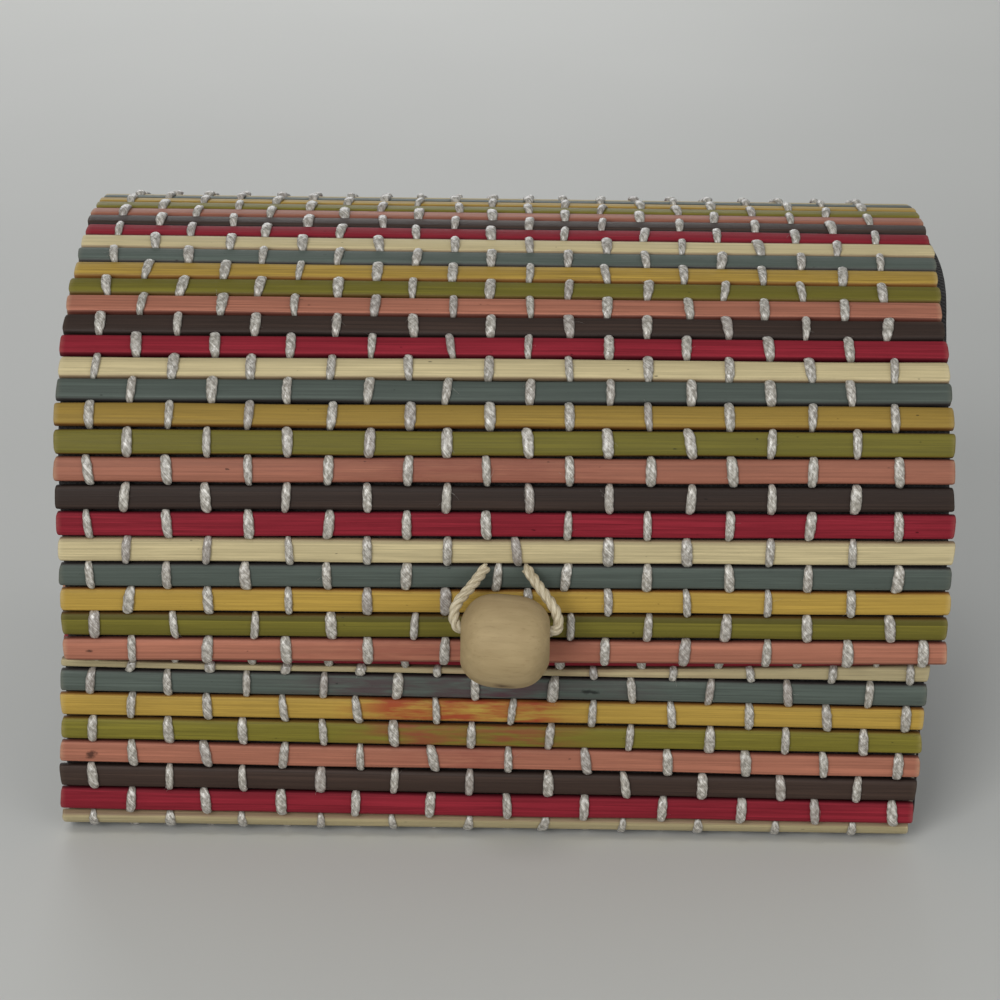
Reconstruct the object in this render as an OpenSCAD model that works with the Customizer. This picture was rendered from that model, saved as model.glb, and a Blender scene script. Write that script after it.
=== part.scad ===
// Trinket box of woven bamboo slats: an open base and a domed lid with a front flap.
// Millimetres. X runs along the slats, the front faces -Y, and Z = 0 is the table.

/* [Box] */
// Length of a lid slat, left to right
slat_l = 132; // [100:1:180]
// How much shorter a base slat is than a lid slat
base_short = 1.2; // [0:0.2:4]
// Depth of the lid between the middle planes of its front and back slats
box_d = 99; // [80:1:140]
// Height of the parting line between base and lid
base_h = 43.6; // [32:0.2:70]
// Radius of the base's two long bottom edges, at the middle of the mat
base_corner_r = 5; // [4:0.25:12]

/* [Lid] */
// Height of the upright part of the lid's sides above the parting line
cheek_h = 4.7; // [4:0.1:15]
// Length of the front flap, from its lower edge to the start of the curve
flap_l = 16; // [10:0.5:24]
// Radius of the slow curve above the flap
lean_r = 57; // [30:1:90]
// How far the front leans back by the end of that curve, in degrees
lean_a = 16; // [8:1:24]
// Radius of the shoulder
shoulder_r = 12; // [8:0.5:20]
// Half the angle of the crown, in degrees
crown_a = 42; // [34:1:50]
// Free space between the lining of the flap and the yarn of the base
flap_clear = 0.6; // [0.4:0.1:2]

/* [Slats] */
// Nominal distance from one slat to the next
slat_pitch = 4; // [3.6:0.1:6]
// Gap between two slats
slat_gap = 0.6; // [0.5:0.05:1]
// Thickness of a slat
slat_t = 1.6; // [1.2:0.1:2]
// Largest difference between one slat's end and the next
trim_var = 0.6; // [0:0.1:1.5]

/* [Yarn and cloth] */
// Number of warp threads, an odd number
warp_n = 21; // [15:2:27]
// Distance of the outermost warp threads from the ends of a base slat
warp_edge = 5.9; // [4:0.1:12]
// Width of the yarn where it lies on a slat
yarn_w = 1.7; // [1.2:0.1:2.4]
// Thickness of the yarn where it lies on a slat
yarn_t = 0.45; // [0.3:0.05:0.6]
// Thickness of the lining
lining_t = 0.4; // [0.3:0.05:0.8]
// Thickness of an end board
board_t = 1.8; // [1:0.1:3]
// Thickness of the cloth on an end board
cover_t = 0.4; // [0.3:0.05:0.8]
// How far an end panel lies inside the ends of the slats
end_inset = 1.2; // [0:0.1:2]

/* [Hinge and pull] */
// Gap between the two slats at the hinge
hinge_gap = 2.4; // [2.2:0.1:4]
// Height of the hinge cloth on each side of the hinge line
hinge_cloth_h = 7; // [5:0.5:12]
// Thickness of the hinge cloth
hinge_cloth_t = 0.35; // [0.2:0.05:0.6]
// Largest diameter of the bead
bead_d = 13.6; // [10:0.2:16]
// Length of the bead
bead_l = 12.6; // [9:0.2:15]
// Radius of the bead's rounded edges
bead_edge_r = 3.2; // [1.5:0.1:3.2]
// Bore of the bead
bead_bore = 3.2; // [2.6:0.1:4]
// How far the bead's middle hangs below the cord's exit
bead_drop = 8.8; // [7.5:0.1:12]
// Diameter of the cord
cord_d = 1.4; // [1:0.1:1.8]
// Diameter of a knot
knot_d = 3.2; // [2.4:0.2:4]

/* [Hidden] */
$fn = 48;
// Clearance between pieces that lie on each other
fit = 0.03;
// Clearance between the lid's end panels and the base's
seat_clear = 0.3;
// Clearance of the bead and the cord from what they hang against
hang_clear = 0.1;
// Space between the widest part of the cord's loop and the bead
loop_clear = 0.9;
// Space between the hinge cloth and the base's end panels
hinge_cloth_inset = 0.8;
// Offsets from the middle of the mat: near and far side of the yarn, near and far side of the lining
yarn_in = slat_t/2 + fit;
yarn_out = yarn_in + yarn_t;
lining_in = yarn_out + fit;
lining_out = lining_in + lining_t;
panel_off = lining_out + fit;
// Half the length of the yarn on a slat past the slat's edge, and inside it
yarn_past = 0.08;
yarn_inside = 0.1;
// Half the thickness of the yarn where a gap squeezes it
yarn_squeeze = 0.15;

// The lid in profile
half_d = box_d/2;
spring_z = base_h + cheek_h;
shoulder_a = 90 - crown_a - lean_a;
lean_reach = lean_r*(1 - cos(lean_a));
shoulder_reach = shoulder_r*(cos(lean_a) - cos(lean_a + shoulder_a));
crown_r = (half_d - lean_reach - shoulder_reach)/sin(crown_a);
rad = PI/180;

// The mat ends this far from the hinge line
mat_end = (hinge_gap - slat_gap)/2;
// Middle planes of the base
base_back_y = half_d;
base_front_y = -half_d + yarn_out + lining_out + flap_clear;
floor_z = yarn_out;
corner_z = floor_z + base_corner_r;

// A segment of a path is its length and its turn in degrees
function arc(r, a) = [r*a*rad, -a];
lid_segs = [
    [flap_l, 0], arc(lean_r, lean_a), arc(shoulder_r, shoulder_a), arc(crown_r, 2*crown_a),
    arc(shoulder_r, shoulder_a), arc(lean_r, lean_a), [cheek_h, 0]
];
lid_start = [-half_d, spring_z - flap_l];
base_segs = [
    [base_h - corner_z, 0], arc(base_corner_r, 90),
    [base_back_y - base_front_y - 2*base_corner_r, 0], arc(base_corner_r, 90),
    [base_h - corner_z, 0]
];
base_start = [base_back_y, base_h];

// Where a step of length l and turn t leads from point p at heading a
function step(p, a, l, t) =
    t == 0
    ? p + l*[cos(a), sin(a)]
    : p + l/(t*rad)*[sin(a + t) - sin(a), cos(a) - cos(a + t)];
// Point and heading at length s of a path
function walk(segs, s, p, a, i = 0) =
    let(l = segs[i][0], t = segs[i][1])
    (s <= l || i == len(segs) - 1)
    ? [step(p, a, s, t*s/l), a + t*s/l]
    : walk(segs, s - l, step(p, a, l, t), a + t, i + 1);
function path_l(segs, i = 0) = i == len(segs) ? 0 : segs[i][0] + path_l(segs, i + 1);
function lid_at(s) = walk(lid_segs, s, lid_start, 90);
function base_at(s) = walk(base_segs, s, base_start, -90);
// A point at u along and n outward from a station of a path
function off(f, u, n) = f[0] + u*[cos(f[1]), sin(f[1])] + n*[-sin(f[1]), cos(f[1])];
// Lengths at which a band needs a point: the ends of segments, and steps within the arcs
function marks(segs, i = 0, s = 0) =
    i == len(segs)
    ? []
    : let(n = segs[i][1] == 0 ? 1 : ceil(abs(segs[i][1])/6))
      concat(
          [for (j = [1:n]) s + segs[i][0]*j/n],
          marks(segs, i + 1, s + segs[i][0])
      );
function between(list, lo, hi) = concat([lo], [for (s = list) if (s > lo + 0.01 && s < hi - 0.01) s], [hi]);

lid_l = path_l(lid_segs);
base_l = path_l(base_segs);
// The lining has a point where the hinge cloth ends
lid_marks = let(all = marks(lid_segs), end = lid_l - hinge_cloth_h)
    concat([for (s = all) if (s < end) s], [end], [for (s = all) if (s > end) s]);
base_marks = marks(base_segs);
lid_mat = lid_l - mat_end;
base_mat = base_l - mat_end;
// The colours repeat every seven slats, and a mat grows by whole repeats, so that its ends keep their colours
function slat_count(l, rest) = 7*round((l/slat_pitch - rest)/7) + rest;
lid_n = slat_count(lid_mat, 5);
base_n = slat_count(base_mat, 2);
lid_p = lid_mat/lid_n;
base_p = base_mat/base_n;
base_slat_l = slat_l - base_short;
// Stations: whole numbers are gaps, halves are slats, counted along the path
function lid_slot(i) = lid_at(i*lid_p);
function base_slot(i) = base_at(mat_end + i*base_p);
// First and last slat that lies flat under the box
floor_s = base_h - corner_z + base_corner_r*90*rad - mat_end;
floor_first = ceil(floor_s/base_p - 0.5);
floor_last = floor((floor_s + base_segs[2][0])/base_p - 0.5);

// Warp threads, spread over the shorter slats
warp_p = (base_slat_l - 2*warp_edge)/(warp_n - 1);
function warp_x(k) = (k - (warp_n - 1)/2)*warp_p;

// End panels
panel_t = board_t + 2*cover_t;
lid_end_x = slat_l/2 - end_inset;
base_end_x = base_slat_l/2 - end_inset;
// Length of the lid's path where its end panels start
cheek_s = flap_l - cheek_h + seat_clear/2;

// The cord leaves the flap in the gap above the fourth slat, between two warp threads
exit_slot = 4;
exit_at = lid_slot(exit_slot);
exit_x = warp_p/2;
pull_y = off(exit_at, 0, slat_t/2 + cord_d/2 + hang_clear)[0];
pull_z = exit_at[0][1];
bead_y = -half_d - yarn_out - hang_clear - bead_d/2;
bead_z = pull_z - bead_drop;
tail_t = slat_gap - 2*hang_clear;
tail_w = cord_d + 2*hang_clear;
// The cord hangs in the top of the bore
cord_lift = bead_bore/2 - cord_d/2 - hang_clear;
// Route of one leg: shares of the way sideways, out and down from the exit to the bore
leg = [
    [0, 0, 0], [0.16, 0.18, 0.09], [0.42, 0.42, 0.25], [0.64, 0.6, 0.375], [0.81, 0.75, 0.487], [0.93, 0.88, 0.6],
    [0.984, 0.97, 0.712], [1, 1, 0.8125], [0.959, 1, 0.906], [0.848, 1, 0.975], [0.695, 1, 1], [0.3, 1, 1]
];
leg_out = bead_y - pull_y;
leg_down = bead_z + cord_lift - pull_z;
leg_wide = bead_l/2 + cord_d/2 + loop_clear - exit_x;
function leg_at(i, side) = [
    side*(exit_x + leg[i][0]*leg_wide),
    pull_y + leg[i][1]*leg_out,
    pull_z + leg[i][2]*leg_down
];
cord_route = concat(
    [for (i = [0:len(leg) - 1]) leg_at(i, -1)],
    [for (i = [len(leg) - 1:-1:0]) leg_at(i, 1)]
);

bamboo_pink = [0.70, 0.40, 0.34];
bamboo_olive = [0.45, 0.43, 0.17];
bamboo_yellow = [0.74, 0.57, 0.22];
bamboo_blue = [0.34, 0.41, 0.42];
bamboo_cream = [0.83, 0.74, 0.54];
bamboo_red = [0.55, 0.13, 0.18];
bamboo_brown = [0.25, 0.20, 0.17];
cotton = [0.88, 0.85, 0.78];
natural = [0.78, 0.68, 0.50];
wood = [0.74, 0.62, 0.42];
black = [0.09, 0.08, 0.08];
card = [0.62, 0.58, 0.50];

// Stands a profile drawn in depth and height upright, with length l along X
module along_x(l) {
    rotate([90, 0, 90])
        linear_extrude(l, center = true)
            children();
}

// A slat is flat on both faces and round on both edges
module slat(f, l, w) {
    along_x(l)
        translate(f[0])
            rotate(f[1]) {
                square([w - slat_t, slat_t], center = true);
                for (side = [-1, 1])
                    translate([side*(w - slat_t)/2, 0])
                        circle(d = slat_t);
            }
}

// The cut ends wander a little from slat to slat
function trim(i) = trim_var*(1 + sin(i*137.5));

// Colour number c counts up from the lower edge of the flap
module lid_slats(c) {
    for (i = [c:7:lid_n - 1])
        slat(lid_slot(i + 0.5), slat_l - trim(i), lid_p - slat_gap);
}

// The base counts its colours down from the top of the front wall
module base_slats(c) {
    for (j = [0:base_n - 1])
        if ((7 - j % 7) % 7 == c)
            slat(base_slot(base_n - j - 0.5), base_slat_l - trim(j + 3), base_p - slat_gap);
}

module lid_slats_pink() { color(bamboo_pink) lid_slats(0); }
module lid_slats_olive() { color(bamboo_olive) lid_slats(1); }
module lid_slats_yellow() { color(bamboo_yellow) lid_slats(2); }
module lid_slats_blue() { color(bamboo_blue) lid_slats(3); }
module lid_slats_cream() { color(bamboo_cream) lid_slats(4); }
module lid_slats_red() { color(bamboo_red) lid_slats(5); }
module lid_slats_brown() { color(bamboo_brown) lid_slats(6); }
module base_slats_pink() { color(bamboo_pink) base_slats(0); }
module base_slats_olive() { color(bamboo_olive) base_slats(1); }
module base_slats_yellow() { color(bamboo_yellow) base_slats(2); }
module base_slats_blue() { color(bamboo_blue) base_slats(3); }
module base_slats_cream() { color(bamboo_cream) base_slats(4); }
module base_slats_red() { color(bamboo_red) base_slats(5); }
module base_slats_brown() { color(bamboo_brown) base_slats(6); }

// One side of a thread on a slat: two points, on the near side of the slat's yarn or the far side.
// Under a slat they draw together as the mat bends.
function flat_at(f, bend, w, over, outer) =
    let(
        far = over == outer,
        n = (over ? 1 : -1)*(far ? yarn_out : yarn_in),
        u = (w/2 + (far ? yarn_past : -yarn_inside))*(over ? 1 : 1 + n*bend)
    )
    [off(f, -u, n), off(f, u, n)];
// Edge of a thread from slat first to slat last, on the outer side or the inner side.
// It has a point in a gap only where the mat bends sharply or a run of thread ends.
function edge(slots, halves, w, p, first, last, n, odd, outer) = [
    for (i = [first:last])
        let(
            over = (i + odd) % 2 == 1,
            bend = (slots[i][1] - slots[i + 1][1])*rad/p,
            side = (over == outer ? 1 : -1)*yarn_squeeze,
            turn = i > 0 ? halves[i - 1][1] - halves[i][1] : 0,
            lead = i > 0 && (i == first || turn > 5) ? [off(slots[i], -side, 0)] : [],
            tail = i == last && i < n - 1 ? [off(slots[i + 1], side, 0)] : []
        )
        each concat(lead, flat_at(halves[i], bend, w, over, outer), tail)
];
function reversed(list) = [for (i = [len(list) - 1:-1:0]) list[i]];

// Every warp thread goes over one slat and under the next, and its neighbours do the opposite
module threads(slots, halves, w, p, first, last, n, shift) {
    for (odd = [0, 1]) {
        outline = concat(
            edge(slots, halves, w, p, first, last, n, odd + shift, true),
            reversed(edge(slots, halves, w, p, first, last, n, odd + shift, false))
        );
        for (k = [odd:2:warp_n - 1])
            translate([warp_x(k), 0, 0])
                along_x(yarn_w)
                    polygon(outline);
    }
}

lid_gaps = [for (i = [0:lid_n]) lid_slot(i)];
lid_mids = [for (i = [0:lid_n - 1]) lid_slot(i + 0.5)];
base_gaps = [for (i = [0:base_n]) base_slot(i)];
base_mids = [for (i = [0:base_n - 1]) base_slot(i + 0.5)];

module lid_yarn() {
    color(cotton)
        threads(lid_gaps, lid_mids, lid_p - slat_gap, lid_p, 0, lid_n - 1, lid_n, 0);
}

module base_yarn(first, last) {
    color(cotton)
        threads(base_gaps, base_mids, base_p - slat_gap, base_p, first, last, base_n, base_n % 2);
}

module base_front_yarn() { base_yarn(floor_last + 1, base_n - 1); }
module base_floor_yarn() { base_yarn(floor_first, floor_last); }
module base_back_yarn() { base_yarn(0, floor_first - 1); }

// Cloth between two offsets from the middle of the mat
function lid_edge(lo, hi, n) = [for (s = between(lid_marks, lo, hi)) off(lid_at(s), 0, n)];
function base_edge(lo, hi, n) = [for (s = between(base_marks, lo, hi)) off(base_at(s), 0, n)];

module lid_lining() {
    lo = slat_gap;
    hi = lid_l - seat_clear/2;
    color(black)
        difference() {
            along_x(slat_l - 2*end_inset)
                polygon(concat(
                    lid_edge(lo, hi, -lining_in),
                    reversed(lid_edge(lo, hi, -lining_out))
                ));
            for (side = [-1, 1])
                translate([side*exit_x, -half_d, pull_z])
                    cube([tail_w + 4*hang_clear, 4*lining_out, tail_t + 4*hang_clear], center = true);
        }
}

module base_lining() {
    lo = seat_clear/2;
    hi = base_l - slat_gap/2;
    color(black)
        along_x(base_slat_l - 2*end_inset)
            polygon(concat(
                base_edge(lo, hi, -lining_in),
                reversed(base_edge(lo, hi, -lining_out))
            ));
}

// Outlines of the end panels, set in by inset at the parting line and grown by grow at the rim
function lid_panel(inset, grow) = lid_edge(cheek_s + inset, lid_l - seat_clear/2 - inset, grow - panel_off);
function base_panel(inset, grow) = base_edge(seat_clear/2 + inset, base_l - seat_clear/2 - inset, grow - panel_off);

module board(x, side, outline) {
    color(card)
        translate([side*(x - panel_t/2), 0, 0])
            along_x(board_t)
                polygon(outline);
}

// Cloth folded round the board at the parting line
module cover(x, side, outline, pocket) {
    color(black)
        translate([side*(x - panel_t/2), 0, 0])
            difference() {
                along_x(panel_t)
                    polygon(outline);
                along_x(board_t + 2*fit)
                    polygon(pocket);
            }
}

module lid_end_board_left() { board(lid_end_x, -1, lid_panel(cover_t + fit, 0)); }
module lid_end_board_right() { board(lid_end_x, 1, lid_panel(cover_t + fit, 0)); }
module lid_end_cover_left() { cover(lid_end_x, -1, lid_panel(0, 0), lid_panel(cover_t, 1)); }
module lid_end_cover_right() { cover(lid_end_x, 1, lid_panel(0, 0), lid_panel(cover_t, 1)); }
module base_end_board_left() { board(base_end_x, -1, base_panel(cover_t + fit, 0)); }
module base_end_board_right() { board(base_end_x, 1, base_panel(cover_t + fit, 0)); }
module base_end_cover_left() { cover(base_end_x, -1, base_panel(0, 0), base_panel(cover_t, 1)); }
module base_end_cover_right() { cover(base_end_x, 1, base_panel(0, 0), base_panel(cover_t, 1)); }

// The strip of cloth inside the back, glued to both linings
module hinge_cloth() {
    near = -panel_off;
    far = near - hinge_cloth_t;
    color(black)
        along_x(2*(base_end_x - panel_t - hinge_cloth_inset))
            polygon(concat(
                lid_edge(lid_l - hinge_cloth_h, lid_l, near),
                base_edge(0.01, hinge_cloth_h, near),
                reversed(base_edge(0.01, hinge_cloth_h, far)),
                reversed(lid_edge(lid_l - hinge_cloth_h, lid_l, far))
            ));
}

// Both cord ends go in flat between two slats and are knotted behind the lining
module cord_knots() {
    knot_y = -half_d + lining_out + fit + knot_d/2;
    tail_l = knot_y + half_d + slat_t/2;
    color(natural)
        for (side = [-1, 1])
            translate([side*exit_x, knot_y, pull_z]) {
                sphere(d = knot_d);
                translate([-tail_w/2, -tail_l, -tail_t/2])
                    cube([tail_w, tail_l, tail_t]);
            }
}

// A round tube of eight sides along a route
function unit(v) = v/norm(v);
function ring(p, t) =
    let(a = unit(cross(t, [0, 1, 0])), b = cross(a, t))
    [for (j = [0:7]) p + cord_d/2*(cos(45*j)*a + sin(45*j)*b)];
module tube(route) {
    n = len(route);
    rings = [
        for (i = [0:n - 1])
            each ring(route[i], unit(route[min(i + 1, n - 1)] - route[max(i - 1, 0)]))
    ];
    polyhedron(
        rings,
        concat(
            [[for (j = [0:7]) j]],
            [for (i = [0:n - 2], j = [0:7]) [i*8 + j, i*8 + 8 + j, i*8 + 8 + (j + 1) % 8, i*8 + (j + 1) % 8]],
            [[for (j = [7:-1:0]) (n - 1)*8 + j]]
        )
    );
}

module pull_cord() {
    color(natural)
        tube(cord_route);
}

// A barrel with rounded edges, flat ends and a bore along X
module pull_bead() {
    color(wood)
        translate([0, bead_y, bead_z])
            rotate([0, 90, 0])
                rotate_extrude()
                    difference() {
                        union() {
                            translate([0, -bead_l/2])
                                square([bead_d/2 - bead_edge_r, bead_l]);
                            translate([0, bead_edge_r - bead_l/2])
                                square([bead_d/2, bead_l - 2*bead_edge_r]);
                            for (side = [-1, 1])
                                translate([bead_d/2 - bead_edge_r, side*(bead_l/2 - bead_edge_r)])
                                    circle(r = bead_edge_r);
                        }
                        translate([-bead_d, -bead_l])
                            square([bead_d + bead_bore/2, 2*bead_l]);
                    }
}

lid_slats_pink();
lid_slats_olive();
lid_slats_yellow();
lid_slats_blue();
lid_slats_cream();
lid_slats_red();
lid_slats_brown();
base_slats_pink();
base_slats_olive();
base_slats_yellow();
base_slats_blue();
base_slats_cream();
base_slats_red();
base_slats_brown();
lid_yarn();
base_front_yarn();
base_floor_yarn();
base_back_yarn();
lid_lining();
base_lining();
lid_end_board_left();
lid_end_board_right();
lid_end_cover_left();
lid_end_cover_right();
base_end_board_left();
base_end_board_right();
base_end_cover_left();
base_end_cover_right();
hinge_cloth();
cord_knots();
pull_cord();
pull_bead();
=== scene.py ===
"""Looks of the trinket box: bamboo slats, warp yarn, cloth, cord and bead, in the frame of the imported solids."""

import math
import random

import bpy
import numpy as np
from mathutils import Matrix, Quaternion, Vector


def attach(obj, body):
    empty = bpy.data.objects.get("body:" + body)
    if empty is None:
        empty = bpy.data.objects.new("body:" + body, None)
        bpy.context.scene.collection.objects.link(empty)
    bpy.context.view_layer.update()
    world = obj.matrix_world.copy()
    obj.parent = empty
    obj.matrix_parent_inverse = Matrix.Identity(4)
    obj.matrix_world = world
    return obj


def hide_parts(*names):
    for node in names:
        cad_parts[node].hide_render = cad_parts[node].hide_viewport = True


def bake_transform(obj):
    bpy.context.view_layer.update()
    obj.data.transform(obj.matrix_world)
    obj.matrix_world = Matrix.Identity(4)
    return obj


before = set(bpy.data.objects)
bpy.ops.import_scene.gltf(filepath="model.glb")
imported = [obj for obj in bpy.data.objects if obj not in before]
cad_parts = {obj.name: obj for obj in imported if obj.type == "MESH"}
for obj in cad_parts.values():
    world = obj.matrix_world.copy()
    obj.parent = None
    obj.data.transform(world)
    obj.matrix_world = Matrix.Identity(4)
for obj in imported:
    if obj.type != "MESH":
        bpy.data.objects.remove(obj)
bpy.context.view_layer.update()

MM = 0.001
RAD = math.pi / 180

# Sizes in millimetres, as in the part's source
SLAT_L, BASE_SHORT, HALF_D, BASE_H, CORNER_R = 132.0, 1.2, 49.5, 43.6, 5.0
CHEEK_H, FLAP_L, LEAN_R, LEAN_A, SHOULDER_R, CROWN_A = 4.7, 16.0, 57.0, 16.0, 12.0, 42.0
FLAP_CLEAR, SLAT_GAP, SLAT_T, TRIM_VAR = 0.6, 0.6, 1.6, 0.6
WARP_N, WARP_EDGE, YARN_T, LINING_T, BOARD_T, COVER_T = 21, 5.9, 0.45, 0.4, 1.8, 0.4
END_INSET, HINGE_GAP, HINGE_H, HINGE_T = 1.2, 2.4, 7.0, 0.35
BEAD_D, BEAD_DROP, CORD_D, KNOT_D = 13.6, 8.8, 1.4, 3.2
FIT, SEAT_CLEAR, HANG_CLEAR, HINGE_INSET = 0.03, 0.3, 0.1, 0.8
LID_N, BASE_N, FLOOR_FIRST, FLOOR_LAST, EXIT_ROW, TRIM_TURN = 40, 44, 11, 32, 4, 137.5
COLOURS = ["pink", "olive", "yellow", "blue", "cream", "red", "brown"]

# Sizes of dressed pieces, where they differ from the solids
PULL_X, SHOWN_BEAD_L, SHOWN_BORE, BEAD_TILT = 0.5, 13.7, 5.4, 5.0
SHOWN_GAP, SHOWN_CLOTH_T, SHOWN_HINGE_T = 0.36, 0.34, 0.3

yarn_out = SLAT_T / 2 + FIT + YARN_T
lining_in = yarn_out + FIT
lining_out = lining_in + LINING_T
panel_off = lining_out + FIT
mat_end = (HINGE_GAP - SLAT_GAP) / 2
spring_z = BASE_H + CHEEK_H
shoulder_a = 90 - CROWN_A - LEAN_A
crown_r = (
    HALF_D
    - LEAN_R * (1 - math.cos(LEAN_A * RAD))
    - SHOULDER_R * (math.cos(LEAN_A * RAD) - math.cos((LEAN_A + shoulder_a) * RAD))
) / math.sin(CROWN_A * RAD)
base_front_y = -HALF_D + yarn_out + lining_out + FLAP_CLEAR
corner_z = yarn_out + CORNER_R


# The profiles of lid and base across the box: segments of length and turn, walked from a start point
def arc(r, a):
    return r * a * RAD, -a


LID_SEGS = [
    (FLAP_L, 0), arc(LEAN_R, LEAN_A), arc(SHOULDER_R, shoulder_a), arc(crown_r, 2 * CROWN_A),
    arc(SHOULDER_R, shoulder_a), arc(LEAN_R, LEAN_A), (CHEEK_H, 0),
]
BASE_SEGS = [
    (BASE_H - corner_z, 0), arc(CORNER_R, 90), (HALF_D - base_front_y - 2 * CORNER_R, 0),
    arc(CORNER_R, 90), (BASE_H - corner_z, 0),
]


def step(p, a, l, t):
    if t == 0:
        return p[0] + l * math.cos(a * RAD), p[1] + l * math.sin(a * RAD)
    k = l / (t * RAD)
    return (
        p[0] + k * (math.sin((a + t) * RAD) - math.sin(a * RAD)),
        p[1] + k * (math.cos(a * RAD) - math.cos((a + t) * RAD)),
    )


def walk(segs, s, p, a):
    for i, (l, t) in enumerate(segs):
        if s <= l or i == len(segs) - 1:
            return step(p, a, s, t * s / l), a + t * s / l
        p, a, s = step(p, a, l, t), a + t, s - l


def lid_at(s):
    return walk(LID_SEGS, s, (-HALF_D, spring_z - FLAP_L), 90)


def base_at(s):
    return walk(BASE_SEGS, s, (HALF_D, BASE_H), -90)


def off(f, u, n):
    """The point u along and n outward from a place and direction on a profile."""
    (y, z), a = f
    c, s = math.cos(a * RAD), math.sin(a * RAD)
    return y + u * c - n * s, z + u * s + n * c


lid_l = sum(l for l, _ in LID_SEGS)
base_l = sum(l for l, _ in BASE_SEGS)
lid_p, base_p = (lid_l - mat_end) / LID_N, (base_l - mat_end) / BASE_N
base_slat_l = SLAT_L - BASE_SHORT
warp_p = (base_slat_l - 2 * WARP_EDGE) / (WARP_N - 1)
pull_y = -HALF_D - SLAT_T / 2 - CORD_D / 2 - HANG_CLEAR
pull_z = lid_at(EXIT_ROW * lid_p)[0][1]
bead_y = -HALF_D - yarn_out - HANG_CLEAR - BEAD_D / 2
bead_z = pull_z - BEAD_DROP
exit_x = warp_p / 2


def trim(i):
    return TRIM_VAR * (1 + math.sin(i * TRIM_TURN * RAD))


def warp_x(k):
    return (k - (WARP_N - 1) / 2) * warp_p


def table(x, xs, ys):
    return float(np.interp(x, xs, ys))


# Camera
ELEVATION, ROLL, AIM, DISTANCE = 22.0, 0.75, Vector((-0.0005, -0.0605, 0.0629)), 0.3942
SENSOR, LENS = 36, 100.3
camera_data = bpy.data.cameras.new("camera")
camera_data.sensor_width, camera_data.lens = SENSOR, LENS
camera_data.clip_start, camera_data.clip_end = 0.01, 20
camera = bpy.data.objects.new("camera", camera_data)
bpy.context.scene.collection.objects.link(camera)
back = Vector((0, -math.cos(ELEVATION * RAD), math.sin(ELEVATION * RAD)))
camera.location = AIM + back * DISTANCE
camera.rotation_mode = "QUATERNION"
camera.rotation_quaternion = (-back).to_track_quat("-Z", "Y") @ Quaternion((0, 0, 1), ROLL * RAD)
bpy.context.scene.camera = camera


# Mesh building: verts in millimetres, faces with texture coordinates in millimetres
class Build:
    def __init__(self):
        self.verts, self.faces, self.uvs, self.slots = [], [], [], []
        self.floats = {}

    def add(self, verts, faces, uvs, **floats):
        start = len(self.verts)
        self.verts.extend(tuple(v) for v in verts)
        self.faces.extend(tuple(i + start for i in f) for f in faces)
        for u in uvs:
            self.uvs.extend(u)
        self.slots.extend([0] * len(faces))
        for name, value in floats.items():
            values = self.floats.setdefault(name, [])
            values.extend([0.0] * (start - len(values)))
            values.extend([value] * len(verts) if np.isscalar(value) else value)
        return start

    def object(self, name, materials):
        mesh = bpy.data.meshes.new(name)
        mesh.from_pydata([(x * MM, y * MM, z * MM) for x, y, z in self.verts], [], self.faces)
        uv = mesh.uv_layers.new(name="UVMap")
        uv.data.foreach_set("uv", np.array(self.uvs, np.float32).ravel())
        mesh.polygons.foreach_set("material_index", np.array(self.slots, np.int32))
        mesh.polygons.foreach_set("use_smooth", np.full(len(self.faces), True))
        for key, values in self.floats.items():
            values = values + [0.0] * (len(self.verts) - len(values))
            attribute = mesh.attributes.new(key, "FLOAT", "POINT")
            attribute.data.foreach_set("value", np.array(values, np.float32))
        for m in materials:
            mesh.materials.append(m)
        mesh.update()
        o = bpy.data.objects.new(name, mesh)
        bpy.context.scene.collection.objects.link(o)
        return o


def rings(rows, us, vs):
    """Points, side faces, texture coordinates and end faces of a tube whose rings are rows of equal length."""
    n, m = len(rows), len(rows[0])
    verts = [p for row in rows for p in row]
    faces, uvs = [], []
    for i in range(n - 1):
        for j in range(m):
            k = (j + 1) % m
            faces.append((i * m + j, i * m + k, (i + 1) * m + k, (i + 1) * m + j))
            uvs.append([(us[i], vs[j]), (us[i], vs[j + 1]), (us[i + 1], vs[j + 1]), (us[i + 1], vs[j])])
    ends = [tuple(range(m - 1, -1, -1)), tuple((n - 1) * m + j for j in range(m))]
    return verts, faces, uvs, ends


def smooth_line(points, count):
    """A smooth curve through points, with count points at even distances."""
    p = np.array(points, float)
    ext = np.vstack([2 * p[0] - p[1], p, 2 * p[-1] - p[-2]])
    out = []
    for i in range(len(p) - 1):
        a, b, c, d = ext[i], ext[i + 1], ext[i + 2], ext[i + 3]
        for t in np.linspace(0, 1, 24, endpoint=False):
            out.append(0.5 * (
                2 * b + (c - a) * t + (2 * a - 5 * b + 4 * c - d) * t**2 + (3 * b - a - 3 * c + d) * t**3
            ))
    out = np.array(out + [p[-1]])
    s = np.concatenate([[0], np.cumsum(np.linalg.norm(np.diff(out, axis=0), axis=1))])
    t = np.linspace(0, s[-1], count)
    return np.stack([np.interp(t, s, out[:, i]) for i in range(3)], 1), s[-1]


def frames_along(line):
    """Two unit vectors across a line at each point, carried along it without twist."""
    t = np.gradient(line, axis=0)
    t /= np.linalg.norm(t, axis=1)[:, None]
    a = np.cross(t[0], (0.3, 0.9, 0.2))
    a /= np.linalg.norm(a)
    first = []
    for d in t:
        a = a - d * (a @ d)
        a /= np.linalg.norm(a)
        first.append(a.copy())
    first = np.array(first)
    return first, np.cross(t, first)


PLY_SHIFT = 7.3


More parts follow.
